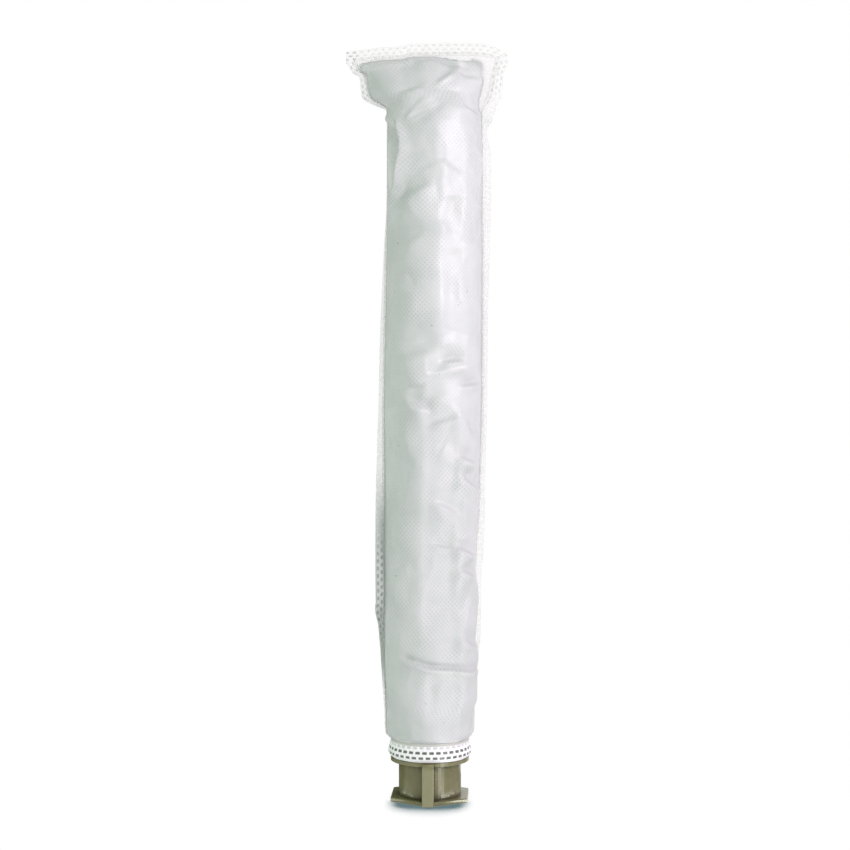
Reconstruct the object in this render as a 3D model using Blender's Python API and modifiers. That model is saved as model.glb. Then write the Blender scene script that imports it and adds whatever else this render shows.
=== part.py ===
"""Vacuum micro filter: a nonwoven sleeve of two welded panels on a moulded hexagon adapter.

The part stands upright on its adapter. The origin is on the adapter's axis at its underside,
+Z runs up the sleeve, and the sleeve's top seam lies along X. All lengths are in metres.
"""

import math
from typing import NamedTuple

import bmesh
import bpy
from mathutils import Matrix, Vector

PART_NAME = "vacuum_micro_filter"

# Adapter, from the underside up
PLATE_ACROSS_FLATS = 0.0400
PLATE_THICKNESS = 0.0022
PLATE_EDGE_ROUNDING = 0.0004
NECK_RADIUS = 0.01635
NECK_TOP = 0.01865
ADAPTER_WALL = 0.0016
FLANGE_RISE = 0.00145
LIP_RADIUS = 0.0206
LIP_DEPTH = 0.0019
COLLAR_EDGE_ROUNDING = 0.0004
RIB_WIDTH = 0.0060
RIB_PROUD = 0.0001
RIB_TOP_LEDGE = 0.0001
RIB_TOP_SETBACK = 0.0003
RIB_EDGE_ROUNDING = 0.0003
TURNED_STEPS = 60

# Fit of the sleeve on the adapter
FABRIC_THICKNESS = 0.0008
FABRIC_CLEARANCE = 0.0003

# Sleeve, outside sizes. Each rise is counted from the level named before it.
SLEEVE_LENGTH = 0.3740
TUBE_RADIUS = 0.0245
HEM_EDGE_RADIUS = 0.0209
HEM_BULGE_RADIUS = 0.0219
HEM_BULGE_RISE = 0.00235
PINCH_RADIUS = 0.0207
PINCH_RISE = 0.00585
ROLL_RADIUS = 0.0224
ROLL_RISE = 0.0043
SHOULDER_RADIUS = 0.0229
SHOULDER_RISE = 0.0049
SEAM_STUB = 0.0009
SEAM_STUB_RISE = 0.0056
LOWER_TUBE_RISE = 0.0057
TOP_SEAM_DEPTH = 0.0065
LEFT_CORNER_DROP = 0.0034
RIGHT_CORNER_DROP = 0.0068
CORNER_DROP_FADE = 0.0350
LEFT_DROP_POWER = 1.2
RIGHT_DROP_POWER = 6
BUTT_LIFT = 0.0016

# Fineness of the two panels
ARCH_STEPS = 18
SEAM_STEPS = 1
END_ROW_SPACING = 0.0032
BODY_ROW_SPACING = 0.0135
COLLAR_STEPS = 6
MERGE_DISTANCE = 0.00005
SHARP_ANGLE = math.radians(40)


class Section(NamedTuple):
    """One level of the sleeve: its place up the sleeve, and its outside measures there."""

    at: float
    centre: float
    swell: float
    depth: float
    left_seam: float
    right_seam: float
    twist: float


# The tube: at is a share of its length, centre the sideways bow, swell what is added to the
# tube's radius, depth what is added front and back, and twist how far round in degrees the
# left seam has come to the front.
TUBE_SECTIONS = [
    Section(0.079, -0.0003, -0.0001, -0.0001, 0.0052, 0.0050, 33),
    Section(0.175, -0.0008, 0.0005, 0.0000, 0.0055, 0.0055, 30),
    Section(0.254, -0.0001, 0.0001, 0.0001, 0.0057, 0.0047, 21),
    Section(0.350, 0.0010, -0.0003, 0.0003, 0.0058, 0.0035, 8),
    Section(0.431, 0.0013, -0.0001, 0.0002, 0.0052, 0.0037, 3),
    Section(0.528, 0.0016, 0.0002, 0.0000, 0.0044, 0.0038, 0),
    Section(0.650, 0.0020, 0.0000, 0.0002, 0.0041, 0.0038, 0),
    Section(0.790, 0.0024, -0.0003, 0.0003, 0.0029, 0.0045, 0),
    Section(0.885, 0.0025, 0.0000, 0.0001, 0.0012, 0.0048, 0),
    Section(0.958, 0.0026, 0.0002, 0.0000, 0.0009, 0.0042, 0),
]

# The closed end: at is the distance below the top seam, swell is the growth of the half width
# as the tube flattens, depth is the loss front and back, and the seams widen into the two ears.
END_SECTIONS = [
    Section(0.0395, 0.0025, 0.0001, -0.0001, 0.0009, 0.0019, 0),
    Section(0.0335, 0.0024, 0.0000, -0.0009, 0.0009, 0.0045, 0),
    Section(0.0275, 0.0029, 0.0009, -0.0027, 0.0013, 0.0059, 0),
    Section(0.0245, 0.0016, 0.0031, -0.0043, 0.0045, 0.0056, 0),
    Section(0.0215, 0.0001, 0.0054, -0.0059, 0.0059, 0.0061, 0),
    Section(0.0180, -0.0001, 0.0066, -0.0077, 0.0055, 0.0057, 0),
    Section(0.0135, 0.0000, 0.0075, -0.0109, 0.0053, 0.0058, 0),
    Section(0.0085, 0.0000, 0.0084, -0.0150, 0.0049, 0.0058, 0),
    Section(0.0055, -0.0015, 0.0106, -0.0180, 0.0050, 0.0059, 0),
    Section(0.0020, -0.0018, 0.0117, -0.0215, 0.0054, 0.0063, 0),
]
TOP_CENTRE = -0.0020
TOP_SWELL = 0.0122
TOP_LEFT_EAR = 0.0060
TOP_RIGHT_EAR = 0.0065

# Levels that follow from the sizes above
LIP_BASE = NECK_TOP + FLANGE_RISE
LIP_TOP = LIP_BASE + LIP_DEPTH
HEM_BASE = LIP_TOP + FABRIC_CLEARANCE
BORE_RADIUS = NECK_RADIUS - ADAPTER_WALL
PLATE_CORNER_RADIUS = PLATE_ACROSS_FLATS / (2 * math.cos(math.pi / 6))
RIB_REACH = PLATE_CORNER_RADIUS + RIB_PROUD
RIB_CHAMFER = RIB_REACH - LIP_RADIUS - RIB_TOP_LEDGE
HALF_PLY = FABRIC_THICKNESS / 2
HALF_GAP = FABRIC_CLEARANCE / 2
PINCH_HEIGHT = HEM_BULGE_RISE + PINCH_RISE
ROLL_HEIGHT = PINCH_HEIGHT + ROLL_RISE
SHOULDER_HEIGHT = ROLL_HEIGHT + SHOULDER_RISE
SEAM_STUB_HEIGHT = SHOULDER_HEIGHT + SEAM_STUB_RISE
LOWER_TUBE_HEIGHT = SEAM_STUB_HEIGHT + LOWER_TUBE_RISE
TOP_SEAM_HEIGHT = SLEEVE_LENGTH - TOP_SEAM_DEPTH
END_HEIGHT = TOP_SEAM_HEIGHT - END_SECTIONS[0].at

PLASTIC_COLOUR = (0.245, 0.225, 0.140, 1.0)
FABRIC_COLOUR = (0.760, 0.780, 0.770, 1.0)


def clear_scene():
    """Removes whatever the scene holds."""
    for item in list(bpy.data.objects):
        bpy.data.objects.remove(item, do_unlink=True)


def new_collection(name):
    """Adds a collection to the scene."""
    collection = bpy.data.collections.new(name)
    bpy.context.scene.collection.children.link(collection)
    return collection


def material(name, colour, roughness):
    """Makes a Principled material that is no metal."""
    made = bpy.data.materials.new(name)
    made.use_nodes = True
    shader = made.node_tree.nodes["Principled BSDF"]
    shader.inputs["Base Color"].default_value = colour
    shader.inputs["Roughness"].default_value = roughness
    shader.inputs["Metallic"].default_value = 0.0
    made.diffuse_color = colour
    return made


def add_object(name, mesh, collection):
    """Puts a mesh into the scene as a named object."""
    made = bpy.data.objects.new(name, mesh)
    collection.objects.link(made)
    return made


def as_guide(item):
    """Marks an object that only shapes another one."""
    item.hide_render = True
    item.display_type = "WIRE"
    return item


def curve_through(knots, at):
    """Reads a smooth curve that passes every knot (place, value) and never overshoots one."""
    places = [place for place, _ in knots]
    values = [value for _, value in knots]
    if at <= places[0]:
        return values[0]
    if at >= places[-1]:
        return values[-1]
    rises = [(values[i + 1] - values[i]) / (places[i + 1] - places[i]) for i in range(len(knots) - 1)]
    slopes = [0.0] * len(knots)
    for i in range(1, len(knots) - 1):
        if rises[i - 1] * rises[i] > 0:
            slopes[i] = 2 * rises[i - 1] * rises[i] / (rises[i - 1] + rises[i])
    index = max(i for i, place in enumerate(places[:-1]) if place <= at)
    span = places[index + 1] - places[index]
    share = (at - places[index]) / span
    return (
        (1 + 2 * share) * (1 - share) ** 2 * values[index]
        + share * (1 - share) ** 2 * span * slopes[index]
        + share**2 * (3 - 2 * share) * values[index + 1]
        + share**2 * (share - 1) * span * slopes[index + 1]
    )


def hem_profile():
    """Knots (height above the fabric's lower edge, outside radius) of the gathered lower end."""
    return [
        (0.0, HEM_EDGE_RADIUS),
        (HEM_BULGE_RISE, HEM_BULGE_RADIUS),
        (PINCH_HEIGHT, PINCH_RADIUS),
        (ROLL_HEIGHT, ROLL_RADIUS),
        (SHOULDER_HEIGHT, SHOULDER_RADIUS),
    ]


def outside(section, height):
    """A section's row of outside measures at its height."""
    return (
        height,
        section.centre,
        TUBE_RADIUS + section.swell,
        TUBE_RADIUS + section.depth,
        section.left_seam,
        section.right_seam,
        section.twist,
    )


def sleeve_levels():
    """Rows (height, centre, half width, half depth, left seam, right seam, twist), going up."""
    lowest = TUBE_SECTIONS[0]
    levels = [
        (height, 0.0, radius, radius, SEAM_STUB, SEAM_STUB, lowest.twist)
        for height, radius in hem_profile() + [(SEAM_STUB_HEIGHT, SHOULDER_RADIUS)]
    ]
    radius = (SHOULDER_RADIUS + TUBE_RADIUS) / 2
    seam = (SEAM_STUB + lowest.left_seam) / 2
    levels.append((LOWER_TUBE_HEIGHT, 0.0, radius, radius, seam, seam, lowest.twist))
    tube_length = END_HEIGHT - LOWER_TUBE_HEIGHT
    for section in TUBE_SECTIONS:
        levels.append(outside(section, LOWER_TUBE_HEIGHT + section.at * tube_length))
    for section in END_SECTIONS:
        levels.append(outside(section, TOP_SEAM_HEIGHT - section.at))
    half_width = TUBE_RADIUS + TOP_SWELL
    flat = HALF_GAP + FABRIC_THICKNESS
    for height in (TOP_SEAM_HEIGHT, SLEEVE_LENGTH):
        levels.append((height, TOP_CENTRE, half_width, flat, TOP_LEFT_EAR, TOP_RIGHT_EAR, 0))
    return levels


def row_heights(levels):
    """Heights of the mesh's rows: every level, with more rows where levels lie far apart."""
    heights = [levels[0][0]]
    for lower, upper in zip(levels, levels[1:]):
        span = upper[0] - lower[0]
        in_tube = LOWER_TUBE_HEIGHT <= lower[0] < END_HEIGHT
        spacing = BODY_ROW_SPACING if in_tube else END_ROW_SPACING
        count = max(1, math.ceil(span / spacing))
        heights += [lower[0] + span * i / count for i in range(1, count + 1)]
    return heights


def corner_drop(x, height):
    """How far the top edge falls towards its two corners, fading out below them."""
    fade = max(0.0, 1 - (SLEEVE_LENGTH - height) / CORNER_DROP_FADE)
    half_width = TUBE_RADIUS + TOP_SWELL
    if x < TOP_CENTRE:
        share = (TOP_CENTRE - x) / (half_width + TOP_LEFT_EAR)
        return fade * LEFT_CORNER_DROP * share**LEFT_DROP_POWER
    share = (x - TOP_CENTRE) / (half_width + TOP_RIGHT_EAR)
    return fade * RIGHT_CORNER_DROP * share**RIGHT_DROP_POWER


def half_section(half_width, half_depth, left_seam, right_seam, spread):
    """Middle line of one panel as (across, out from the seams' plane), left edge to right edge.

    With spread 1 the seams lie flat against the other panel's. With spread 0, in the hem,
    the panels meet edge to edge instead, and the seam columns run on along the arch.
    """
    reach = half_width - HALF_PLY
    rise = half_depth - HALF_PLY
    edge = HALF_GAP + (HALF_PLY if spread > 0 else 0.0)
    foot = edge + (1 - spread) * BUTT_LIFT
    shares = [1 - step / SEAM_STEPS for step in range(SEAM_STEPS)]
    points = [(-reach - spread * left_seam * share, foot + (edge - foot) * share) for share in shares]
    for step in range(ARCH_STEPS + 1):
        angle = math.pi * step / ARCH_STEPS
        out = math.sqrt(foot**2 + max(0.0, rise**2 - foot**2) * math.sin(angle) ** 2)
        points.append((-reach * math.cos(angle), out))
    points += [
        (reach + spread * right_seam * share, foot + (edge - foot) * share)
        for share in reversed(shares)
    ]
    return points


def panel_row(levels, height, side):
    """Middle line of a panel at one height in place; side is 1 in front and -1 at the back."""
    centre, half_width, half_depth, left_seam, right_seam, twist = (
        curve_through([(level[0], level[i]) for level in levels], height) for i in range(1, 7)
    )
    spread = curve_through([(PINCH_HEIGHT, 0.0), (SEAM_STUB_HEIGHT, 1.0)], height)
    turn = Matrix.Rotation(math.radians(twist), 3, "Z")
    row = []
    for across, out in half_section(half_width, half_depth, left_seam, right_seam, spread):
        place = turn @ Vector((across, -side * out, 0.0))
        x = centre + place.x
        row.append((x, place.y, HEM_BASE + height - corner_drop(x, height)))
    return row


def build_panel(name, side, collection, fabric):
    """One nonwoven panel: a lofted middle surface given the fabric's thickness."""
    levels = sleeve_levels()
    shape = bmesh.new()
    grid = [
        [shape.verts.new(point) for point in panel_row(levels, height, side)]
        for height in row_heights(levels)
    ]
    for lower, upper in zip(grid, grid[1:]):
        for i in range(len(lower) - 1):
            shape.faces.new((lower[i], lower[i + 1], upper[i + 1], upper[i]))
    bmesh.ops.recalc_face_normals(shape, faces=shape.faces)
    mesh = bpy.data.meshes.new(name)
    shape.to_mesh(mesh)
    shape.free()
    mesh.materials.append(fabric)
    panel = add_object(name, mesh, collection)
    ply = panel.modifiers.new("ply", "SOLIDIFY")
    ply.thickness = FABRIC_THICKNESS
    ply.offset = 0.0
    ply.use_even_offset = True
    mesh.shade_smooth()
    mesh.set_sharp_from_angle(angle=SHARP_ANGLE)
    return panel


def turned_profile():
    """Closed outline (radius, height) of the neck, flange and collar, down its outer side."""
    collar_top = HEM_BASE + PINCH_HEIGHT
    inset = FABRIC_THICKNESS + FABRIC_CLEARANCE
    top_radius = PINCH_RADIUS - inset
    outline = [
        (top_radius - COLLAR_EDGE_ROUNDING, collar_top),
        (top_radius, collar_top - COLLAR_EDGE_ROUNDING),
    ]
    for step in range(1, COLLAR_STEPS):
        height = PINCH_HEIGHT * (1 - step / COLLAR_STEPS)
        outline.append((curve_through(hem_profile(), height) - inset, HEM_BASE + height))
    outline += [
        (HEM_EDGE_RADIUS - inset, LIP_TOP),
        (LIP_RADIUS, LIP_TOP),
        (LIP_RADIUS, LIP_BASE),
        (NECK_RADIUS, NECK_TOP),
        (NECK_RADIUS, 0.0),
        (BORE_RADIUS, 0.0),
        (BORE_RADIUS, LIP_BASE),
        (top_radius - ADAPTER_WALL, LIP_TOP + ADAPTER_WALL),
        (top_radius - ADAPTER_WALL, collar_top),
    ]
    return outline


def build_turned(collection):
    """Neck, flange and collar: one outline turned about the axis."""
    shape = bmesh.new()
    corners = [shape.verts.new((radius, 0.0, height)) for radius, height in turned_profile()]
    for i, corner in enumerate(corners):
        shape.edges.new((corner, corners[(i + 1) % len(corners)]))
    mesh = bpy.data.meshes.new("turned_neck")
    shape.to_mesh(mesh)
    shape.free()
    turned = as_guide(add_object("turned_neck", mesh, collection))
    sweep = turned.modifiers.new("turn", "SCREW")
    sweep.steps = TURNED_STEPS
    sweep.render_steps = TURNED_STEPS
    sweep.use_merge_vertices = True
    sweep.merge_threshold = MERGE_DISTANCE
    return turned


def build_bore_cutter(collection):
    """Cuts the plate open inside the neck's wall, which then lines the hole."""
    mesh = bpy.data.meshes.new("bore_cutter")
    shape = bmesh.new()
    radius = (NECK_RADIUS + BORE_RADIUS) / 2
    bmesh.ops.create_cone(
        shape,
        cap_ends=True,
        segments=TURNED_STEPS,
        radius1=radius,
        radius2=radius,
        depth=4 * PLATE_THICKNESS,
    )
    shape.to_mesh(mesh)
    shape.free()
    return as_guide(add_object("bore_cutter", mesh, collection))


def extruded_outline(name, outline, thickness, collection):
    """A closed mesh of a flat outline, half the thickness to either side of its plane."""
    curve = bpy.data.curves.new(name + "_outline", "CURVE")
    curve.dimensions = "2D"
    curve.fill_mode = "BOTH"
    curve.extrude = thickness / 2
    spline = curve.splines.new("POLY")
    spline.points.add(len(outline) - 1)
    for point, (along, up) in zip(spline.points, outline):
        point.co = (along, up, 0.0, 1.0)
    spline.use_cyclic_u = True
    drawn = add_object(name + "_outline", curve, collection)
    evaluated = drawn.evaluated_get(bpy.context.evaluated_depsgraph_get())
    mesh = bpy.data.meshes.new_from_object(evaluated)
    mesh.name = name
    shape = bmesh.new()
    shape.from_mesh(mesh)
    bmesh.ops.remove_doubles(shape, verts=shape.verts, dist=MERGE_DISTANCE)
    bmesh.ops.recalc_face_normals(shape, faces=shape.faces)
    shape.to_mesh(mesh)
    shape.free()
    solid = add_object(name, mesh, collection)
    solid.matrix_world = drawn.matrix_world
    bpy.data.objects.remove(drawn, do_unlink=True)
    return solid


def build_rib(name, direction, collection):
    """A gusset from the plate's corner up to the lip, its outer top corner chamfered."""
    inner = (NECK_RADIUS + BORE_RADIUS) / 2
    top = LIP_TOP - RIB_TOP_SETBACK
    outline = [
        (inner, 0.0),
        (RIB_REACH, 0.0),
        (RIB_REACH, top - RIB_CHAMFER),
        (RIB_REACH - RIB_CHAMFER, top),
        (inner, NECK_TOP),
    ]
    rib = as_guide(extruded_outline(name, outline, RIB_WIDTH, collection))
    # The outline's first axis points out along Y, its second up, and its thickness lies along X.
    rib.matrix_world = Matrix(((0, 0, direction, 0), (direction, 0, 0, 0), (0, 1, 0, 0), (0, 0, 0, 1)))
    rounding = rib.modifiers.new("edge_rounding", "BEVEL")
    rounding.width = RIB_EDGE_ROUNDING
    rounding.segments = 1
    return rib


def build_adapter(collection, guides, plastic):
    """The moulded adapter: hexagon plate, two ribs and the turned neck, joined into one body."""
    mesh = bpy.data.meshes.new("adapter")
    shape = bmesh.new()
    bmesh.ops.create_cone(
        shape,
        cap_ends=True,
        segments=6,
        radius1=PLATE_CORNER_RADIUS,
        radius2=PLATE_CORNER_RADIUS,
        depth=PLATE_THICKNESS,
        matrix=Matrix.Translation((0.0, 0.0, PLATE_THICKNESS / 2)),
    )
    shape.to_mesh(mesh)
    shape.free()
    mesh.materials.append(plastic)
    adapter = add_object("adapter", mesh, collection)
    rounding = adapter.modifiers.new("edge_rounding", "BEVEL")
    rounding.width = PLATE_EDGE_ROUNDING
    rounding.segments = 2
    steps = [("bore", "DIFFERENCE", build_bore_cutter(guides))]
    steps += [
        ("front_rib", "UNION", build_rib("front_rib", -1, guides)),
        ("rear_rib", "UNION", build_rib("rear_rib", 1, guides)),
        ("neck", "UNION", build_turned(guides)),
    ]
    for name, operation, other in steps:
        joint = adapter.modifiers.new(name, "BOOLEAN")
        joint.operation = operation
        joint.solver = "EXACT"
        joint.object = other
    mesh.shade_smooth()
    mesh.set_sharp_from_angle(angle=SHARP_ANGLE)
    return adapter


def main():
    clear_scene()
    parts = new_collection(PART_NAME)
    guides = new_collection("guides")
    plastic = material("adapter_plastic", PLASTIC_COLOUR, 0.38)
    fabric = material("filter_fabric", FABRIC_COLOUR, 0.85)
    build_adapter(parts, guides, plastic)
    build_panel("front_panel", 1, parts, fabric)
    build_panel("back_panel", -1, parts, fabric)


main()
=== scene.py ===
"""Vacuum micro filter: a white nonwoven sleeve with welded edges on an olive-tan plastic adapter.

Lengths are in metres. Z runs up the sleeve, X along its top seam, and -Y is the front.
"""

import math

import bpy
import numpy as np
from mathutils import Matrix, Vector


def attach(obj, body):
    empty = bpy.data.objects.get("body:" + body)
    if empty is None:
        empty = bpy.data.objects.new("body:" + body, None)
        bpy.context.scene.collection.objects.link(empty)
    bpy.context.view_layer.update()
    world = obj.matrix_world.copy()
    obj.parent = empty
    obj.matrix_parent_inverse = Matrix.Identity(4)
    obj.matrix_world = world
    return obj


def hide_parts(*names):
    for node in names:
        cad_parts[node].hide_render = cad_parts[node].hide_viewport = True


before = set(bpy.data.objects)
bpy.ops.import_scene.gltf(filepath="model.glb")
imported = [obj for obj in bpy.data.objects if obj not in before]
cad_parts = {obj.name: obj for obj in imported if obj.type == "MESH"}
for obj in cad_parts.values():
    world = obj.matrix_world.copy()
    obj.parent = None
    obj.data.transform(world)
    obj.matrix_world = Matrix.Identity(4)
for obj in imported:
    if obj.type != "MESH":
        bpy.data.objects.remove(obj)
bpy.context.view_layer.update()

# The sleeve's measures, as in the part
SLEEVE_LENGTH = 0.3740
HEM_BASE = 0.0223
TUBE_RADIUS = 0.0245
HEM_EDGE_RADIUS = 0.0209
HEM_BULGE_RADIUS = 0.0219
HEM_BULGE_HEIGHT = 0.00235
HEM_TOP_LAP = 0.0024
PINCH_RADIUS = 0.0207
PINCH_HEIGHT = 0.0082
NECK_RADIUS = 0.0206
NECK_HEIGHT = 0.0094
ROLL_RADIUS = 0.0225
ROLL_HEIGHT = 0.0118
SHOULDER_RADIUS = 0.0229
SHOULDER_HEIGHT = 0.0174
SEAM_STUB = 0.0009
SEAM_STUB_HEIGHT = 0.0230
HEM_TWIST = 8
LOWER_TUBE_HEIGHT = 0.0287
LOWER_TUBE_CENTRE = 0.0003
TOP_SEAM_DEPTH = 0.0065
TOP_SEAM_HEIGHT = SLEEVE_LENGTH - TOP_SEAM_DEPTH
END_HEIGHT = TOP_SEAM_HEIGHT - 0.0395
RIGHT_CORNER_DROP = 0.0068
CORNER_DROP_FADE = 0.0350
RIGHT_DROP_POWER = 6
TOP_CENTRE = -0.0020
TOP_SWELL = 0.0122
TOP_LEFT_EAR = 0.0060
TOP_RIGHT_EAR = 0.0065

# Share of the tube's length, centre, added width, added depth, width that shows of the left margin
# and of the right one, twist in degrees
TUBE_SECTIONS = [
    (0.079, -0.0003, -0.0001, -0.0001, 0.0010, 0.0036, 20),
    (0.135, -0.0006, 0.0002, 0.0000, 0.0024, 0.0056, 26),
    (0.175, -0.0008, 0.0005, 0.0000, 0.0058, 0.0068, 30),
    (0.254, -0.0001, 0.0001, 0.0001, 0.0058, 0.0063, 24),
    (0.350, 0.0010, -0.0003, 0.0003, 0.0060, 0.0053, 14),
    (0.431, 0.0013, -0.0001, 0.0002, 0.0047, 0.0045, 9),
    (0.528, 0.0016, 0.0002, 0.0000, 0.0044, 0.0038, 0),
    (0.650, 0.0020, 0.0000, 0.0002, 0.0041, 0.0038, 0),
    (0.790, 0.0024, -0.0003, 0.0003, 0.0029, 0.0050, 0),
    (0.885, 0.0025, 0.0000, 0.0001, 0.0012, 0.0055, 0),
    (0.958, 0.0026, 0.0002, 0.0000, 0.0009, 0.0050, 0),
]
# Distance below the top seam, then the same measures
END_SECTIONS = [
    (0.0395, 0.0025, 0.0001, -0.0001, 0.0009, 0.0026, 0),
    (0.0365, 0.0025, 0.0000, -0.0005, 0.0009, 0.0036, 0),
    (0.0335, 0.0024, 0.0000, -0.0009, 0.0009, 0.0066, 0),
    (0.0270, 0.0028, 0.0008, -0.0029, 0.0012, 0.0075, 0),
    (0.0243, 0.0016, 0.0030, -0.0043, 0.0046, 0.0071, 0),
    (0.0215, 0.0001, 0.0054, -0.0059, 0.0060, 0.0078, 0),
    (0.0180, -0.0001, 0.0066, -0.0077, 0.0055, 0.0070, 0),
    (0.0135, 0.0000, 0.0075, -0.0109, 0.0051, 0.0067, 0),
    (0.0085, 0.0000, 0.0084, -0.0150, 0.0049, 0.0063, 0),
    (0.0055, -0.0015, 0.0106, -0.0180, 0.0050, 0.0059, 0),
    (0.0020, -0.0018, 0.0117, -0.0215, 0.0054, 0.0063, 0),
]

# Fabric
PLY = 0.0007
SEAM_PLY = 0.0005
PRESSED_PLY = 0.00012
MARGIN_PLY = 0.0004
HEM_PLY = 0.0008
SEAM_WIDTH = 0.0058
PANEL_START = 0.0002
MARGIN_START = 0.0004
ROOT_LAP = 0.0021
LAP_PROUD = 0.00006
LAP_DIVE = 0.00022
LAP_SHARE_OF_SEAM = 0.7
FILLET_SHARE_OF_LAP = 0.62
FILLET_RISE = 0.0018
MARK_PITCH = 0.0038
RIGHT_MARK_PITCH = 0.0029
MARK_ROWS = (0.0011, 0.00315, 0.0052)
MARK_LENGTH = 0.0020
HEM_MARK_LENGTH = 0.0025
MARK_WIDTH = 0.0011
MARK_SOFTNESS = 0.0003
HEM_MARKS = 37
HEM_MARK_ROWS = (0.0024, 0.0050, 0.0074)
HEM_MARK_WIDTH = 0.0013
HEM_MARK_DEPTH = 0.00035

# Random relief of the fabric: height and size of its lumps
COARSE_CRUMPLE = (0.00075, 0.017)
FINE_CRUMPLE = (0.00022, 0.007)
CREASE_NET = (0.00020, 0.013)
GATHERS = (0.0003, 0.0035)
PUCKERS = (0.00022, 0.005)
SIDE_WAVES = ((0.0007, 0.021), (0.0003, 0.008))
TOP_WAVES = ((0.0006, 0.016), (0.00025, 0.006))
HEM_GATHERS = (0.00018, 0.004)

# Fineness
ARCH_COLUMNS = 104
FOOT_FINENESS = 0.5
LAP_COLUMNS = 3
PANEL_ROW = 0.00082
SEAM_GRID = 0.00042
HEM_COLUMNS = 400
HEM_LEVELS = 40

MM = 1e-3


# ---------------------------------------------------------------- curves and noise
def curve_through(places, values, at):
    """Smooth curve through every knot that never overshoots one."""
    places, values, at = (np.asarray(a, float) for a in (places, values, at))
    span = np.diff(places)
    rise = np.diff(values) / span
    slope = np.zeros_like(values)
    product = rise[:-1] * rise[1:]
    total = rise[:-1] + rise[1:]
    slope[1:-1] = np.where(product > 0, 2 * product / np.where(total == 0, 1, total), 0)
    index = np.clip(np.searchsorted(places, at, side="right") - 1, 0, len(span) - 1)
    t = np.clip((at - places[index]) / span[index], 0, 1)
    return (
        (1 + 2 * t) * (1 - t) ** 2 * values[index]
        + t * (1 - t) ** 2 * span[index] * slope[index]
        + t**2 * (3 - 2 * t) * values[index + 1]
        + t**2 * (t - 1) * span[index] * slope[index + 1]
    )


def smooth(low, high, x):
    """0 below low, 1 above high, and a soft rise between."""
    t = np.clip((x - low) / (high - low), 0, 1)
    return t * t * (3 - 2 * t)


def cloudy(u, v, size, seed):
    """Smooth noise from -1 to 1 whose lumps are about size across."""
    lattice = np.random.default_rng(seed).uniform(-1, 1, (257, 257))
    gu, gv = np.asarray(u) / size + 128.37, np.asarray(v) / size + 91.13
    iu, iv = np.floor(gu).astype(int), np.floor(gv).astype(int)
    fu, fv = gu - iu, gv - iv
    fu, fv = fu * fu * (3 - 2 * fu), fv * fv * (3 - 2 * fv)
    iu, iv = iu % 256, iv % 256
    return (
        lattice[iu, iv] * (1 - fu) * (1 - fv)
        + lattice[iu + 1, iv] * fu * (1 - fv)
        + lattice[iu, iv + 1] * (1 - fu) * fv
        + lattice[iu + 1, iv + 1] * fu * fv
    )


def lumps(kind, u, v, seed):
    """Noise of one kind's height and size."""
    height, size = kind
    return height * cloudy(u, v, size, seed)


# ---------------------------------------------------------------- the sleeve's shape
def sleeve_levels():
    """Columns: height, centre, half width, half depth, left seam, right seam, twist."""
    lowest = TUBE_SECTIONS[0]
    rows = [
        (h, 0.0, r, r, SEAM_STUB, SEAM_STUB, HEM_TWIST)
        for h, r in (
            (0.0, HEM_EDGE_RADIUS),
            (HEM_BULGE_HEIGHT, HEM_BULGE_RADIUS),
            (PINCH_HEIGHT, PINCH_RADIUS),
            (NECK_HEIGHT, NECK_RADIUS),
            (ROLL_HEIGHT, ROLL_RADIUS),
            (SHOULDER_HEIGHT, SHOULDER_RADIUS),
            (SEAM_STUB_HEIGHT, SHOULDER_RADIUS),
        )
    ]
    radius = (SHOULDER_RADIUS + TUBE_RADIUS) / 2
    seam = (SEAM_STUB + lowest[4]) / 2
    twist = (HEM_TWIST + lowest[6]) / 2
    rows.append((LOWER_TUBE_HEIGHT, LOWER_TUBE_CENTRE, radius, radius, seam, seam, twist))
    tube = END_HEIGHT - LOWER_TUBE_HEIGHT
    sections = [(LOWER_TUBE_HEIGHT + at * tube, *rest) for at, *rest in TUBE_SECTIONS]
    sections += [(TOP_SEAM_HEIGHT - at, *rest) for at, *rest in END_SECTIONS]
    for height, centre, swell, depth, *seams_and_twist in sections:
        rows.append((height, centre, TUBE_RADIUS + swell, TUBE_RADIUS + depth, *seams_and_twist))
    for height in (TOP_SEAM_HEIGHT, SLEEVE_LENGTH):
        half = TUBE_RADIUS + TOP_SWELL
        rows.append((height, TOP_CENTRE, half, SEAM_PLY, TOP_LEFT_EAR, TOP_RIGHT_EAR, 0))
    return np.array(rows)


LEVELS = sleeve_levels()


def measures(height):
    """Centre, half width, half depth, left seam, right seam and twist at each height."""
    return [curve_through(LEVELS[:, 0], LEVELS[:, i], height) for i in range(1, 7)]


# Top edge: place along X, and how far it lies below its highest line. It steps down where the
# seam doubles.
TOP_EDGE_X = (-0.0450, -0.0240, -0.0145, -0.0095, 0.0)
TOP_EDGE_DROP = (0.0034, 0.0018, 0.0015, 0.0001, 0.0)


def corner_drop(x, height):
    """How far the top edge falls towards its two corners."""
    fade = np.maximum(0.0, 1 - (SLEEVE_LENGTH - height) / CORNER_DROP_FADE)
    half = TUBE_RADIUS + TOP_SWELL
    left = curve_through(TOP_EDGE_X, TOP_EDGE_DROP, x)
    right = np.clip((x - TOP_CENTRE) / (half + TOP_RIGHT_EAR), 0, None)
    return fade * (left + RIGHT_CORNER_DROP * right**RIGHT_DROP_POWER)


def place(across, out, height, centre, twist):
    """Points of a section, turned and placed: across runs to the right and out to the front."""
    turn = np.radians(twist)
    x = centre + across * np.cos(turn) + out * np.sin(turn)
    y = across * np.sin(turn) - out * np.cos(turn)
    return np.stack([x, y, HEM_BASE + height - corner_drop(x, height)], axis=-1)


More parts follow.
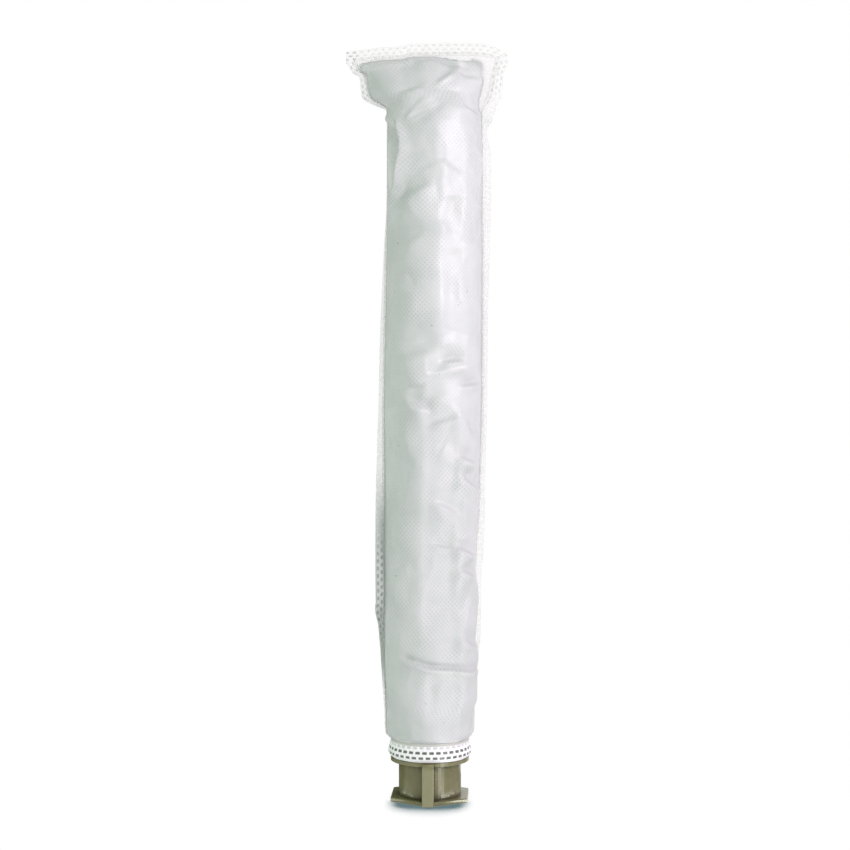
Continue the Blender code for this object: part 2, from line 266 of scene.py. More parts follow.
def grid_normals(points):
    """Unit normals of a grid whose rows go up and whose columns go right, seen from outside."""
    along = np.gradient(points, axis=0)
    across = np.gradient(points, axis=1)
    normal = np.cross(across, along)
    return normal / np.maximum(np.linalg.norm(normal, axis=2, keepdims=True), 1e-12)


# ---------------------------------------------------------------- folds
# Each fold runs from (x, z) to (x, z), in millimetres on the panel seen from its own front, with z
# above the floor. Its width and height follow, and the fabric is raised on the left of that run and
# sunk on its right.
FRONT_FOLDS = [
    # under the top seam
    (-3.0, 388.5, 9.5, 381.5, 2.6, -0.75),
    (12.5, 381.0, 5.0, 371.5, 2.8, 0.55),
    (-6.0, 388.0, -2.8, 384.5, 0.9, -0.35),
    (-20.0, 383.5, -7.5, 387.0, 3.0, 0.50),
    (-14.0, 367.0, -3.0, 369.5, 2.2, -0.50),
    (-11.5, 353.5, -1.2, 364.0, 0.8, -0.12),
    (5.2, 369.5, 11.8, 375.0, 0.8, 0.30),
    (-9.5, 352.5, 8.0, 368.0, 0.8, 0.10),
    (-2.6, 350.0, 10.6, 361.5, 2.4, -0.24),
    (14.0, 383.0, 19.0, 381.2, 0.9, -0.40),
    (20.5, 361.0, 26.0, 357.5, 1.5, -0.50),
    # the left flank below the ear
    (-22.6, 357.0, -15.9, 345.0, 1.6, 1.25),
    (-15.9, 346.0, -15.6, 335.5, 1.6, 1.30),
    (-16.2, 352.0, -15.4, 340.0, 0.7, 0.75),
    (-15.4, 340.0, -17.3, 324.0, 0.7, 0.75),
    (-17.3, 324.0, -20.5, 309.0, 0.7, 0.40),
    (-15.6, 337.0, -18.2, 321.0, 1.6, 1.25),
    (-18.0, 322.0, -21.2, 306.0, 1.5, 0.85),
    # upper tube
    (-14.0, 311.5, -0.5, 318.0, 3.4, -0.80),
    (-13.0, 289.0, -2.0, 293.0, 2.4, -0.35),
    (3.0, 331.0, 15.0, 326.0, 2.0, -0.30),
    # middle
    (-12.6, 231.3, 1.6, 234.4, 2.8, -0.60),
    (7.6, 227.6, 17.8, 229.4, 1.7, -0.85),
    (0.6, 221.9, 19.7, 225.4, 1.00, -0.45),
    (17.2, 215.0, 24.8, 217.0, 1.6, -0.90),
    (-10.0, 215.0, -3.0, 217.0, 1.0, 0.35),
    (-9.0, 208.0, 1.5, 203.0, 2.2, -1.00),
    (4.1, 196.2, 15.8, 198.6, 1.0, -0.60),
    (18.8, 201.5, 24.8, 188.5, 3.0, -0.80),
    (17.3, 178.4, 24.3, 175.6, 1.8, -1.10),
    (17.3, 170.0, 24.3, 163.0, 2.2, -1.15),
    (18.5, 160.5, 18.6, 136.5, 1.5, 0.40),
    (5.1, 155.5, 16.1, 150.5, 1.5, -0.45),
    (4.1, 135.2, 16.1, 131.8, 1.1, -0.55),
    (16.1, 132.6, 23.8, 127.7, 1.7, -1.00),
    (17.3, 120.5, 22.3, 117.0, 1.6, -0.90),
    (21.3, 109.5, 16.8, 95.0, 1.5, 0.50),
    (16.3, 87.0, 21.3, 81.0, 1.7, -0.85),
    # the long wrinkle near the bottom
    (-15.2, 75.5, -6.1, 74.0, 1.0, -0.80),
    (-6.1, 74.0, 1.5, 71.5, 0.9, -0.90),
    (1.5, 71.5, 13.7, 70.0, 0.9, -0.90),
    (13.7, 70.0, 22.3, 67.7, 1.1, -0.95),
    # soft upright zones
    (9.6, 340.0, 9.2, 236.0, 4.4, -0.34),
    (17.5, 345.0, 17.8, 225.0, 2.6, 0.16),
    (0.0, 231.0, 0.2, 168.0, 2.8, -0.22),
    (-1.0, 172.0, -1.0, 90.0, 2.8, -0.24),
    (-1.0, 72.0, -0.6, 36.0, 3.4, -0.30),
    (14.6, 200.0, 15.2, 150.0, 2.8, 0.35),
    (14.6, 140.0, 14.8, 42.0, 3.0, 0.62),
]
BACK_FOLDS = [
    (-12.0, 383.0, 2.0, 374.0, 2.6, 0.8),
    (2.0, 374.0, 14.0, 379.0, 2.4, -0.7),
    (-22.0, 372.0, -10.0, 362.0, 2.2, 0.7),
    (8.0, 366.0, 20.0, 358.0, 2.0, 0.6),
    (-6.0, 356.0, 4.0, 342.0, 2.4, -0.5),
    (14.0, 345.0, 17.0, 318.0, 2.2, 0.6),
    (-18.0, 318.0, -4.0, 311.0, 2.0, 0.5),
    (4.0, 282.0, 16.0, 287.0, 1.8, -0.5),
    (-20.0, 262.0, -6.0, 266.0, 1.8, 0.55),
    (-8.0, 241.0, 6.0, 236.0, 1.6, -0.55),
    (9.0, 214.0, 21.0, 219.0, 1.6, 0.6),
    (-21.0, 205.0, -9.0, 199.0, 1.8, -0.55),
    (-4.0, 178.0, 9.0, 182.0, 1.6, 0.5),
    (-20.0, 158.0, -12.0, 150.0, 1.6, -0.5),
    (10.0, 140.0, 20.0, 133.0, 1.6, 0.5),
    (-10.0, 118.0, 4.0, 121.0, 1.6, -0.5),
    (-18.0, 84.0, -2.0, 80.0, 1.3, 0.5),
    (-2.0, 80.0, 14.0, 83.0, 1.3, 0.5),
]
FOLD_STRENGTH = 2.6


def beside_line(x, z, x0, z0, x1, z1):
    """Distance along a line whose ends are in millimetres, distance to its left, and its length."""
    start, end = np.array([x0, z0]) * MM, np.array([x1, z1]) * MM
    length = np.linalg.norm(end - start)
    ux, uz = (end - start) / length
    along = (x - start[0]) * ux + (z - start[1]) * uz
    off = (z - start[1]) * ux - (x - start[0]) * uz
    return along, off, length


def fold_field(x, z, folds):
    """Height that the folds add to the panel at each place, in metres."""
    total = np.zeros_like(x)
    x = x + 0.0017 * cloudy(z, 0 * x, 0.023, 5) + 0.0007 * cloudy(x, z, 0.009, 6)
    z = z + 0.0008 * cloudy(x, z, 0.012, 7)
    for x0, z0, x1, z1, width, height in folds:
        along, off, length = beside_line(x, z, x0, z0, x1, z1)
        wide = width * MM
        fade = min(0.35 * length, 4 * wide)
        ends = smooth(-fade, fade, along) * smooth(-fade, fade, length - along)
        # A crest runs out slowly on its lower or left side.
        reach = np.where((off < 0) & (height > 0), 4.6, 2.6) * wide
        profile = np.tanh(1.4 * off / wide) * np.exp(-((off / reach) ** 2))
        total += ends * FOLD_STRENGTH * height * MM * profile
    return total


# Painted highlights along lines where the web is creased sharply: two ends and half width in
# millimetres, and the share. This is colour alone.
CREASE_HIGHLIGHTS = [
    (-0.5, 221.6, 8.0, 222.6, 0.75, 0.80),
    (5.0, 222.2, 20.5, 226.0, 0.75, 0.78),
    (-0.6, 230.8, -0.6, 222.0, 0.70, 0.35),
    (-10.5, 353.4, 6.8, 361.3, 0.90, 0.30),
    (-9.5, 349.5, 0.5, 356.5, 0.90, 0.25),
    (-6.1, 72.4, 1.5, 69.9, 0.90, 0.35),
    (1.5, 69.9, 13.7, 68.4, 0.90, 0.40),
    (13.7, 68.4, 22.3, 66.1, 0.90, 0.40),
    (-22.6, 345.0, -21.8, 318.0, 0.60, 0.50),
]


def crease_highlight_share(x, z):
    """How much painted highlight lies along the sharp creases at each place."""
    found = np.zeros_like(x)
    for x0, z0, x1, z1, width, share in CREASE_HIGHLIGHTS:
        along, off, length = beside_line(x, z, x0, z0, x1, z1)
        ends = smooth(-0.0005, 0.0025, along) * smooth(-0.0005, 0.0025, length - along)
        found = np.maximum(found, share * ends * np.exp(-((off / (width * MM)) ** 2)))
    return found


CREASES = 230


def small_creases(u, v, seed):
    """Soft crests and troughs at random places and angles, in metres."""
    rng = np.random.default_rng(seed)
    total = np.zeros_like(u)
    for _ in range(CREASES):
        u0, v0 = rng.uniform(-0.036, 0.036), rng.uniform(0.012, 0.368)
        angle = rng.normal(0.35, 0.75) * rng.choice([-1, 1])
        length, wide = rng.uniform(0.006, 0.018), rng.uniform(0.0016, 0.0042)
        rise = rng.uniform(0.00020, 0.00065) * rng.choice([-1, 1])
        du, dv = u - u0, v - v0
        along = du * math.cos(angle) + dv * math.sin(angle)
        off = dv * math.cos(angle) - du * math.sin(angle) + 0.0008 * np.sin(along / 0.004)
        fade = np.exp(-((along / length) ** 2))
        total += rise * fade * np.exp(-np.sqrt((off / wide) ** 2 + 0.006))
    return total


# ---------------------------------------------------------------- meshes
def thick_grid(name, outer, inner, cells=None, wrap=False):
    """Closed thin mesh between two grids of points. cells says which of the grid's cells exist."""
    rows, columns = outer.shape[:2]
    across = columns if wrap else columns - 1
    cells = np.ones((rows - 1, across), bool) if cells is None else cells
    count = rows * columns
    index = np.arange(count).reshape(rows, columns)
    right = np.roll(index, -1, axis=1)[:, :across] if wrap else index[:, 1:]
    left = index[:, :across]
    r, c = np.nonzero(cells)
    low_left, low_right = left[r, c], right[r, c]
    up_left, up_right = left[r + 1, c], right[r + 1, c]
    faces = [np.stack([low_left, low_right, up_right, up_left], axis=1)]
    faces.append(np.stack([up_left, up_right, low_right, low_left], axis=1) + count)
    padded = np.pad(cells, 1)
    if wrap:
        padded[1:-1, 0], padded[1:-1, -1] = cells[:, -1], cells[:, 0]
    here = padded[1:-1, 1:-1]
    for up, over, first, second in (
        (-1, 0, low_right, low_left),
        (1, 0, up_left, up_right),
        (0, -1, low_left, up_left),
        (0, 1, up_right, low_right),
    ):
        beside = padded[1 + up : rows + up, 1 + over : 1 + across + over]
        rim = (here & ~beside)[r, c]
        a, b = first[rim], second[rim]
        faces.append(np.stack([a, b, b + count, a + count], axis=1))
    faces = np.concatenate(faces)
    used = np.unique(faces)
    renumber = np.zeros(2 * count, int)
    renumber[used] = np.arange(len(used))
    points = np.concatenate([outer.reshape(-1, 3), inner.reshape(-1, 3)])[used]
    faces = renumber[faces]
    mesh = bpy.data.meshes.new(name)
    mesh.vertices.add(len(points))
    mesh.vertices.foreach_set("co", points.astype(np.float32).ravel())
    mesh.loops.add(faces.size)
    mesh.loops.foreach_set("vertex_index", faces.astype(np.int32).ravel())
    mesh.polygons.add(len(faces))
    mesh.polygons.foreach_set("loop_start", np.arange(0, faces.size, 4, dtype=np.int32))
    mesh.polygons.foreach_set("loop_total", np.full(len(faces), 4, np.int32))
    mesh.update(calc_edges=True)
    mesh.validate()
    mesh.shade_smooth()
    made = bpy.data.objects.new(name, mesh)
    bpy.context.scene.collection.objects.link(made)
    return made, used % count, faces


def lay_cloth_map(obj, used, faces, u, v):
    """Stores the cloth's own coordinates, in metres, as a UV map."""
    layer = obj.data.uv_layers.new(name="cloth")
    flat = np.stack([u.ravel()[used], v.ravel()[used]], axis=1)
    layer.data.foreach_set("uv", flat[faces.ravel()].astype(np.float32).ravel())


def add_point_value(obj, name, used, values):
    """Stores one number for each point."""
    attribute = obj.data.attributes.new(name, "FLOAT", "POINT")
    attribute.data.foreach_set("value", values.ravel()[used].astype(np.float32))


# How much of the pillow's right side lies flat, by the distance below the top seam
TRIM_BELOW_TOP = (0.0, 0.005, 0.009, 0.022, 0.027, 0.033)
TRIM_WIDTH = (0.0035, 0.0042, 0.0047, 0.0047, 0.0030, 0.0)

# Lower edge of the flat wedge beside the top seam: place along X, and height above the floor
WEDGE_X = (-0.004, 0.0205, 0.0225, 0.030)
WEDGE_HEIGHT = (0.3895, 0.3862, 0.3885, 0.3890)


def flat_share(x, z):
    """1 where the front panel lies flat on the back one by the top seam, and 0 where it swells."""
    wedge_edge = curve_through(WEDGE_X, WEDGE_HEIGHT, x)
    wedge = smooth(-0.0004, 0.0004, z - wedge_edge) * smooth(-0.0045, -0.0030, x)
    corner = 0.55 * smooth(0.0150, 0.0185, x) * smooth(0.3755, 0.3785, z)
    return np.maximum(wedge, corner)


def pillow(side, heights):
    """A panel without its folds: an arch between the two seams, and a narrow lap into each.

    side is 1 for the front panel and -1 for the back one. Returns the points, how far each stands
    out from the seams' plane, and how far each belongs to the welded margin.
    """
    centre, half_width, half_depth, left_seam, right_seam, twist = measures(heights)
    share = np.linspace(0, 1, ARCH_COLUMNS + 1)
    finer_feet = FOOT_FINENESS * np.sin(2 * math.pi * share) / (2 * math.pi)
    angle = math.pi * (share - finer_feet)[None, :]
    foot = SEAM_PLY
    trim = curve_through(TRIM_BELOW_TOP, TRIM_WIDTH, TOP_SEAM_HEIGHT - heights)
    arch_across = -trim / 2 - (half_width - trim / 2) * np.cos(angle)
    rise = np.maximum(half_depth, foot)
    arch_out = np.sqrt(foot**2 + (rise**2 - foot**2) * np.sin(angle) ** 2)
    lap = np.minimum(ROOT_LAP, np.minimum(left_seam, right_seam) * LAP_SHARE_OF_SEAM)
    fillet = FILLET_SHARE_OF_LAP * lap
    arch_across = arch_across - fillet * np.exp(-(arch_out - foot) / FILLET_RISE) * np.cos(angle)
    steps = (np.arange(LAP_COLUMNS, 0, -1) / LAP_COLUMNS)[None, :]
    left_across = -half_width - fillet - (lap - fillet) * steps
    right_across = half_width - trim + fillet + (lap - fillet + trim) * steps[:, ::-1]
    lap_out = foot + LAP_PROUD - (LAP_PROUD + LAP_DIVE) * steps + 0 * heights
    across = np.concatenate([left_across, arch_across, right_across], axis=1)
    out = np.concatenate([lap_out, arch_out + LAP_PROUD, lap_out[:, ::-1]], axis=1)
    flat = flat_share(centre + across, HEM_BASE + heights + 0 * across)
    out = foot + LAP_PROUD + (out - foot - LAP_PROUD) * (1 - flat)
    margin = smooth(0.0030, 0.0006, out)
    points = place(across, side * out, np.broadcast_to(heights, across.shape), centre, twist)
    if side < 0:
        points, out, margin = points[:, ::-1], out[:, ::-1], margin[:, ::-1]
    return points, out, margin


def cloth_places(points, heights):
    """The cloth's own coordinates, in metres: across from its middle, and up."""
    steps = np.linalg.norm(np.diff(points, axis=1), axis=2)
    u = np.concatenate([np.zeros((len(heights), 1)), np.cumsum(steps, axis=1)], axis=1)
    return u - u[:, [u.shape[1] // 2]], np.broadcast_to(heights, u.shape)


def random_relief(x, z, u, v, out, seed):
    """Height that crumples, gathers at the hem and puckers along the welds add, in metres."""
    crumple = lumps(COARSE_CRUMPLE, u, v, seed) + lumps(FINE_CRUMPLE, u, v, seed + 1)
    height, size = CREASE_NET
    crease = 1 - 2 * np.abs(cloudy(u, v * 0.8, size, seed + 2))
    crumple = crumple + height * crease + small_creases(u, v, seed + 5)
    # The left outline runs straight below the ear.
    below_ear = smooth(-0.0165, -0.0195, x) * smooth(0.012, 0.004, np.abs(z - 0.357))
    crumple = crumple * (1 - 0.85 * below_ear)
    gathers = lumps(GATHERS, u, v * 0.15, seed + 3) * smooth(0.016, 0.0, v - NECK_HEIGHT)
    puckers = lumps(PUCKERS, v, u * 0.25, seed + 4) * smooth(0.012, 0.002, out)
    return crumple + gathers + puckers


def build_sleeve(name, side, folds, seed):
    """One panel's pillow with its folds. side is 1 for the front panel and -1 for the back one."""
    heights = np.arange(NECK_HEIGHT + PANEL_START, TOP_SEAM_HEIGHT + ROOT_LAP, PANEL_ROW)[:, None]
    points, out, margin = pillow(side, heights)
    normal = grid_normals(points)
    x = points[..., 0] * side
    z = points[..., 2]
    u, v = cloth_places(points, heights)
    # Nothing moves where the panel is welded.
    free = smooth(0.0004, 0.006, out) * smooth(NECK_HEIGHT, NECK_HEIGHT + 0.004, heights)
    free = free * smooth(0.0, 0.006, TOP_SEAM_HEIGHT - heights)
    push = fold_field(x, z, folds) * free + random_relief(x, z, u, v, out, seed) * free
    points = points + normal * push[..., None]
    normal = grid_normals(points)
    inner = points - normal * (PLY + (MARGIN_PLY - PLY) * margin)[..., None]
    sleeve, used, faces = thick_grid(name, points, inner)
    lay_cloth_map(sleeve, used, faces, u, v)
    add_point_value(sleeve, "margin", used, margin)
    # The crease value holds the share of painted highlight along the sharp creases.
    add_point_value(sleeve, "crease", used, crease_highlight_share(x, z) if side > 0 else 0 * x)
    return sleeve


def marks(along, across, rows, pitch, length, width):
    """1 in the middle of each pressed weld mark and 0 outside them, in staggered rows."""
    found = np.zeros(np.broadcast(along, across).shape)
    for i, row in enumerate(rows):
        shift = along - (i % 2) * pitch / 2
        near = np.abs(shift - np.round(shift / pitch) * pitch)
        inside = 1.0
        for size, offset in ((length, near), (width, np.abs(across - row))):
            inside = inside * smooth(size / 2 + MARK_SOFTNESS, size / 2 - MARK_SOFTNESS, offset)
        found = np.maximum(found, inside)
    return found


# The margin's real width narrows towards the hem.
MARGIN_HEIGHTS = (0.0090, 0.0230, 0.0523, 0.0690, 0.0810, 0.4000)
MARGIN_WIDTHS = (0.0012, 0.0022, 0.0040, 0.0049, 0.0058, 0.0058)

# Heights between which the left margin's marks are dark: they come in over the first pair and go
# out over the second.
MARKS_DARK = (0.055, 0.072, 0.100, 0.122)
SEAM_TUCK = 0.0004


def build_welded_edge():
    """Both plies of the margin outside the weld: up the left side, over the top, down the right."""
    side_columns = round(SEAM_WIDTH / SEAM_GRID)
    side_heights = np.arange(NECK_HEIGHT + MARGIN_START, TOP_SEAM_HEIGHT, SEAM_GRID)
    top_heights = np.linspace(TOP_SEAM_HEIGHT, SLEEVE_LENGTH, round(TOP_SEAM_DEPTH / SEAM_GRID) + 1)
    heights = np.concatenate([side_heights, top_heights])[:, None]
    centre, half_width, _, left_seam, right_seam, twist = measures(heights)
    middle_columns = round(2 * (TUBE_RADIUS + TOP_SWELL) / SEAM_GRID)
    share = (np.arange(side_columns + 1) / side_columns)[None, :]
    # The margin keeps its width and leans back where less of it shows.
    real = curve_through(MARGIN_HEIGHTS, MARGIN_WIDTHS, heights)
    parts_across, parts_out, parts_edge = [], [], []
    for side, seam in ((-1, left_seam), (1, right_seam)):
        shown = np.clip(seam / real, 0.05, 1.0)
        full = np.maximum(seam, real)
        lean = np.sqrt(1 - shown**2)
        reach = full * share
        bend = smooth(0.0, 0.0012, reach)
        across_side = half_width - SEAM_TUCK + reach * shown
        out_side = -reach * lean * (0.35 + 0.65 * bend)
        wave = lumps(SIDE_WAVES[0], heights, reach * 0.2, 40 + side)
        wave = wave + lumps(SIDE_WAVES[1], heights, reach * 0.2, 42 + side)
        out_side = out_side + wave * share * smooth(0, 0.012, TOP_SEAM_HEIGHT - heights)
        parts_across.append(side * across_side)
        parts_out.append(out_side)
        parts_edge.append(full * (1 - share))
    middle_share = np.linspace(-1, 1, middle_columns + 1)[None, 1:-1]
    middle_across = (half_width - SEAM_TUCK) * middle_share
    middle_out = np.zeros_like(middle_across)
    across = np.concatenate([parts_across[0][:, ::-1], middle_across, parts_across[1]], axis=1)
    out = np.concatenate([parts_out[0][:, ::-1], middle_out, parts_out[1]], axis=1)
    top_wave = lumps(TOP_WAVES[0], across, heights * 0.3, 55)
    top_wave = top_wave + lumps(TOP_WAVES[1], across, heights * 0.3, 56)
    out = out + top_wave * smooth(TOP_SEAM_HEIGHT, SLEEVE_LENGTH, heights)
    points = place(across, out, np.broadcast_to(heights, across.shape), centre, twist)
    columns = points.shape[1]
    is_top = (heights >= TOP_SEAM_HEIGHT - 1e-9) & np.ones((1, columns), bool)
    to_edge = np.full((len(heights), columns), 1.0)
    to_edge[:, : side_columns + 1] = parts_edge[0][:, ::-1]
    to_edge[:, -side_columns - 1 :] = parts_edge[1]
    to_top = SLEEVE_LENGTH - heights + np.zeros((1, columns))
    # On the right side, up to its ear, the marks slant and stand closer together.
    on_right = (np.arange(columns) >= columns - side_columns - 1)[None, :]
    slanted = (heights + 0.5 * to_edge) * MARK_PITCH / RIGHT_MARK_PITCH
    slanted = slanted + (heights - slanted) * smooth(0.332, 0.336, heights)
    along_side = np.where(on_right, slanted, heights)
    pressed_side = marks(along_side, to_edge, MARK_ROWS, MARK_PITCH, MARK_LENGTH, MARK_WIDTH)
    pressed_top = marks(across, to_top, MARK_ROWS, MARK_PITCH, MARK_LENGTH, MARK_WIDTH)
    pressed = np.where(is_top, pressed_top, pressed_side)
    normal = grid_normals(points)
    half = (SEAM_PLY + (PRESSED_PLY - SEAM_PLY) * pressed)[..., None]
    cells = np.zeros((len(heights) - 1, columns - 1), bool)
    cells[:, :side_columns] = True
    cells[:, -side_columns:] = True
    cells[len(side_heights) :, :] = True
    outer, inner = points + normal * half, points - normal * half
    edge, used, faces = thick_grid("welded_edge", outer, inner, cells)
    cloth_u, cloth_v = np.where(is_top, across, to_edge), np.where(is_top, to_top, along_side)
    lay_cloth_map(edge, used, faces, cloth_u, cloth_v)
    come_in, dark_from, dark_to, gone = MARKS_DARK
    strong = smooth(come_in, dark_from, heights) * smooth(gone, dark_to, heights)
    high = smooth(0.318, 0.328, heights)
    left_side = (np.arange(columns) <= side_columns)[None, :].astype(float)
    # Low on the left the margin is coloured duller and made less open.
    dulled = smooth(0.030, 0.052, heights) * smooth(0.160, 0.112, heights) * left_side
    add_point_value(edge, "dulled", used, dulled)
    right_ear = smooth(0.340, 0.352, heights) * (1 - left_side) * (1 - is_top)
    shade = 0.29 + 0.18 * is_top + (0.62 * strong + 0.38 * high) * left_side + 0.26 * right_ear
    add_point_value(edge, "mark_shade", used, np.clip(pressed * shade, 0, 1))
    return edge


def build_hem():
    """The gathered lower end on the collar, welded in three rows of marks."""
    turn = np.linspace(0, 2 * math.pi, HEM_COLUMNS, endpoint=False)[None, :]
    heights = np.linspace(0, PINCH_HEIGHT + HEM_TOP_LAP, HEM_LEVELS)[:, None]
    radius = curve_through(LEVELS[:, 0], LEVELS[:, 2], heights) + np.zeros_like(turn)
    round_turn = turn * PINCH_RADIUS
    # The gathers die out where the first column meets the last.
    away_from_join = smooth(0.0, 0.002, turn) * smooth(0.0, 0.002, 2 * math.pi - turn)
    radius = radius + lumps(HEM_GATHERS, round_turn, heights * 0.3, 71) * away_from_join
    edge_roll = smooth(0.0011, 0.0, heights)
    radius = radius - 0.0004 * edge_roll
    along = turn * HEM_BULGE_RADIUS
    pitch = 2 * math.pi * HEM_BULGE_RADIUS / HEM_MARKS
    pressed = marks(along, heights, HEM_MARK_ROWS, pitch, HEM_MARK_LENGTH, HEM_MARK_WIDTH)
    radius = radius - HEM_MARK_DEPTH * pressed
    z = HEM_BASE + heights + np.zeros_like(turn)
    outer = np.stack([radius * np.sin(turn), -radius * np.cos(turn), z], axis=2)
    inside = radius - HEM_PLY
    inner = np.stack([inside * np.sin(turn), -inside * np.cos(turn), z], axis=2)
    hem, used, faces = thick_grid("welded_hem", outer, inner, wrap=True)
    lay_cloth_map(hem, used, faces, round_turn + np.zeros_like(heights), z)
    # The upper row of marks is fainter.
    strength = 1 - 0.56 * smooth(0.0060, 0.0070, heights)
    add_point_value(hem, "mark_shade", used, pressed * strength)
    rim = smooth(0.0078, 0.0086, heights) * smooth(0.0106, 0.0096, heights)
    add_point_value(hem, "rim", used, rim + np.zeros_like(turn))
    return hem


# ---------------------------------------------------------------- materials
class Graph:
    """Short ways to add nodes to the tree of a material or a world."""

    def __init__(self, tree):
        self.nodes, self.links = tree.nodes, tree.links
        self.nodes.clear()

    def put(self, socket, value):
        if isinstance(value, bpy.types.NodeSocket):
            self.links.new(value, socket)
        else:
            socket.default_value = value

    def add(self, kind, inputs=None, **settings):
        node = self.nodes.new(kind)
        for key, value in settings.items():
            setattr(node, key, value)
        for key, value in (inputs or {}).items():
            self.put(node.inputs[key], value)
        return node

    def maths(self, operation, a, b):
        return self.add("ShaderNodeMath", {0: a, 1: b}, operation=operation).outputs[0]

    def blend(self, factor, a, b):
        # Of a mix node's sockets, 0, 6 and 7 are the factor and the two colours.
        mixed = self.add("ShaderNodeMix", {0: factor}, data_type="RGBA")
        self.put(mixed.inputs[6], a)
        self.put(mixed.inputs[7], b)
        return mixed.outputs[2]

    def share_blend(self, factor, share, a, b):
        return self.blend(self.maths("MULTIPLY", factor, share), a, b)

    def remap(self, value, low, high, to_low=0.0, to_high=1.0, kind="SMOOTHSTEP"):
        ends = {"From Min": low, "From Max": high, "To Min": to_low, "To Max": to_high}
        inputs = {"Value": value, **ends}
        return self.add("ShaderNodeMapRange", inputs, interpolation_type=kind).outputs[0]

    def noise(self, vector, scale, detail, roughness):
        inputs = {"Vector": vector, "Scale": scale, "Detail": detail, "Roughness": roughness}
        return self.add("ShaderNodeTexNoise", inputs).outputs["Fac"]

    def point_value(self, name):
        return self.add("ShaderNodeAttribute", attribute_name=name).outputs["Fac"]


def new_material(name):
    """An empty material and the graph that fills it."""
    material = bpy.data.materials.new(name)
    material.use_nodes = True
    return material, Graph(material.node_tree)


# Along a level row the bond dots repeat every 4.5 pixels of the photo: the median of 56 readings,
# of which the middle half runs from 4.4 to 5.4.
DOT_REPEAT = 0.00236

# The two layers of fibres: how the web's coordinates are stretched and turned (radians), fineness
FIBRE_LAYERS = (((1.0, 0.22, 1.0), 0.5, 5200.0), ((0.25, 1.0, 1.0), 0.35, 4700.0))

WEB_TONES = ((0.825, 0.860, 0.835), (0.870, 0.893, 0.876))
WEB_PATCHES = (0.745, 0.790, 0.760)
WEB_FIBRES = (0.94, 0.94, 0.94, 1)
WEB_DOTS = (0.49, 0.53, 0.51, 1)
WEB_SPECKS = (0.30, 0.32, 0.31, 1)
CREASE_HIGHLIGHT_TONE = (0.93, 0.94, 0.93, 1)
BACKLIT_MARGIN_TONE = (0.985, 0.975, 0.970, 1)
EDGE_WEB = (0.965, 0.945, 0.935, 1)
DULL_EDGE = (0.56, 0.61, 0.57, 1)
EDGE_MARK_COLOUR = (0.40, 0.44, 0.415, 1)
HEM_BAND = (0.47, 0.48, 0.42, 1)
HEM_MARK_COLOUR = (0.140, 0.155, 0.130, 1)


def toned(colour, white, cap):
    """A colour made lighter or darker by white, and kept below cap."""
    return (*(min(cap, c * white) for c in colour), 1)


def add_web(g, white, dot_share):
    """Point-bonded nonwoven: off-white, cloudy, with fine fibres and a staggered grid of bond dots.

    Returns its colour, roughness and height.
    """
    cloth = g.add("ShaderNodeUVMap", uv_map="cloth").outputs[0]
    split = g.add("ShaderNodeSeparateXYZ", {0: cloth})
    here = g.add("ShaderNodeTexCoord").outputs["Object"]
    clouds = g.noise(here, 140.0, 4.0, 0.6)
    patches = g.noise(here, 52.0, 3.0, 0.55)
    layers = []
    for stretch, turn, fineness in FIBRE_LAYERS:
        inputs = {"Vector": cloth, "Scale": stretch, "Rotation": (0, 0, turn)}
        laid = g.add("ShaderNodeMapping", inputs)
        layers.append(g.noise(laid.outputs[0], fineness, 3.0, 0.65))
    fibres = g.maths("MULTIPLY", g.maths("ADD", *layers), 0.5)
    wave = 2 * math.pi / DOT_REPEAT
    phases = [g.maths("MULTIPLY", split.outputs[i], wave) for i in (0, 1)]
    waves = [g.maths("COSINE", phase, 0.0) for phase in phases]
    dot = g.remap(g.maths("MULTIPLY", *waves), 0.25, 0.85)
    dot = g.maths("MULTIPLY", dot, dot_share)
    low, high = (toned(tone, white, 0.97) for tone in WEB_TONES)
    colour = g.blend(g.remap(clouds, 0.3, 0.7), low, high)
    patchy = toned(WEB_PATCHES, white, 0.93)
    colour = g.share_blend(g.remap(patches, 0.40, 0.66), 0.55, colour, patchy)
    colour = g.share_blend(g.remap(fibres, 0.42, 0.62), 0.16, colour, WEB_FIBRES)
    # The dots show more in some places than in others.
    shown = g.remap(g.noise(here, 70.0, 2.0, 0.5), 0.32, 0.68, 0.12, 0.62)
    colour = g.share_blend(dot, shown, colour, WEB_DOTS)
    specks = g.remap(g.noise(here, 420.0, 0.0, 0.5), 0.865, 0.880)
    colour = g.share_blend(specks, 0.45, colour, WEB_SPECKS)
    rough = g.maths("SUBTRACT", 0.44, g.maths("MULTIPLY", dot, 0.12))
    height = g.maths("ADD", g.maths("MULTIPLY", fibres, 0.5), g.maths("MULTIPLY", dot, -0.55))
    height = g.maths("ADD", height, g.maths("MULTIPLY", clouds, 0.5))
    return colour, rough, height


def add_weld_marks(g, colour, rough, height, mark):
    """The web with its weld marks: another colour, smoother and sunk."""
    weld = g.remap(g.point_value("mark_shade"), 0.15, 0.85)
    colour = g.blend(weld, colour, mark)
    rough = g.maths("SUBTRACT", rough, g.maths("MULTIPLY", weld, 0.30))
    height = g.maths("ADD", height, g.maths("MULTIPLY", weld, -0.6))
    return colour, rough, height


